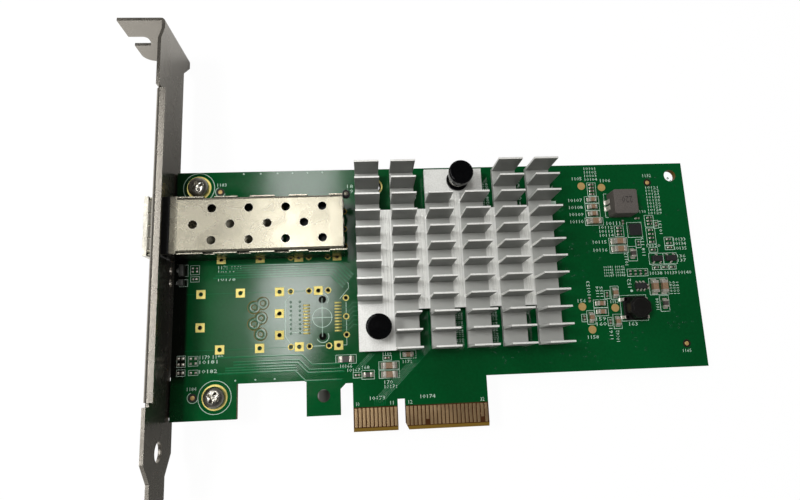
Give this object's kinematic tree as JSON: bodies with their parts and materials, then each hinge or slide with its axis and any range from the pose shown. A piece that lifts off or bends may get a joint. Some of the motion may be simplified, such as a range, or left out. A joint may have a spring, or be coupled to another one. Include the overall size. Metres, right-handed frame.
{
  "type": "network interface card",
  "caption": "Green circuit board on a tall steel bracket, with a perforated transceiver cage, an empty second port, a pin-fin heatsink on push pins, and gold edge contacts.",
  "frame": {"origin": "middle of the key notch in the edge contacts, at the contacts' bottom edge, on the component face", "axes": "+X from the bracket towards the board's free end, +Y from the edge contacts towards the board's top edge, +Z out of the component face"},
  "size_m": [0.1516, 0.12, 0.0235],
  "materials": {
    "board_green": "green solder mask over glass laminate, satin",
    "contact_gold": "gold plating, worn satin",
    "pad_gold": "gold plated copper, satin",
    "bracket_steel": "nickel plated steel sheet",
    "screw_steel": "nickel plated steel, polished",
    "cage_steel": "nickel plated copper alloy sheet, fine grain",
    "socket_black": "black moulded plastic",
    "heatsink_aluminium": "bare cast aluminium, fine blasted",
    "pin_black": "black nylon",
    "spring_steel": "spring wire",
    "substrate_green": "package laminate",
    "lid_metal": "nickel plated copper lid",
    "thermal_grey": "grey silicone thermal pad",
    "choke_grey": "pressed powder, grey",
    "drum_black": "dark ferrite",
    "terminal_tin": "tinned copper",
    "chip_black": "black moulding compound",
    "capacitor_brown": "fired ceramic, brown",
    "bead_dark": "dark ferrite ceramic",
    "light_white": "white package plastic",
    "lens_clear": "milky clear resin"
  },
  "bodies": {
    "root": {"circuit_board": "board_green", "edge_contacts_front": "contact_gold", "edge_contacts_back": "contact_gold", "cage_pin_pads": "pad_gold", "signal_ring_pads": "pad_gold", "socket_pads": "pad_gold", "mounting_rings": "pad_gold", "test_pads": "pad_gold", "alignment_marks": "pad_gold", "mounting_bracket": "bracket_steel", "bracket_screws": "screw_steel", "cage_cover": "cage_steel", "cage_base": "cage_steel", "cage_spring_collar": "cage_steel", "socket_housing": "socket_black", "socket_leads": "terminal_tin", "heatsink": "heatsink_aluminium", "push_pins": "pin_black", "push_pin_collars": "pin_black", "push_pin_springs": "spring_steel", "controller_substrate": "substrate_green", "controller_lid": "lid_metal", "thermal_pad": "thermal_grey", "power_inductor_body": "choke_grey", "power_inductor_terminals": "terminal_tin", "drum_inductor_base": "drum_black", "drum_inductor_core": "drum_black", "drum_inductor_terminals": "terminal_tin", "regulator_chip": "chip_black", "regulator_leads": "terminal_tin", "switcher_chip": "chip_black", "switcher_leads": "terminal_tin", "transistor_bodies": "chip_black", "transistor_leads": "terminal_tin", "indicator_housings": "light_white", "indicator_lenses": "lens_clear", "large_capacitor_bodies": "capacitor_brown", "large_capacitor_ends": "terminal_tin", "medium_capacitor_bodies": "capacitor_brown", "medium_capacitor_ends": "terminal_tin", "bead_bodies": "bead_dark", "bead_ends": "terminal_tin", "small_capacitor_bodies": "capacitor_brown", "small_capacitor_ends": "terminal_tin", "small_resistor_bodies": "chip_black", "small_resistor_ends": "terminal_tin"}
  },
  "joints": []
}
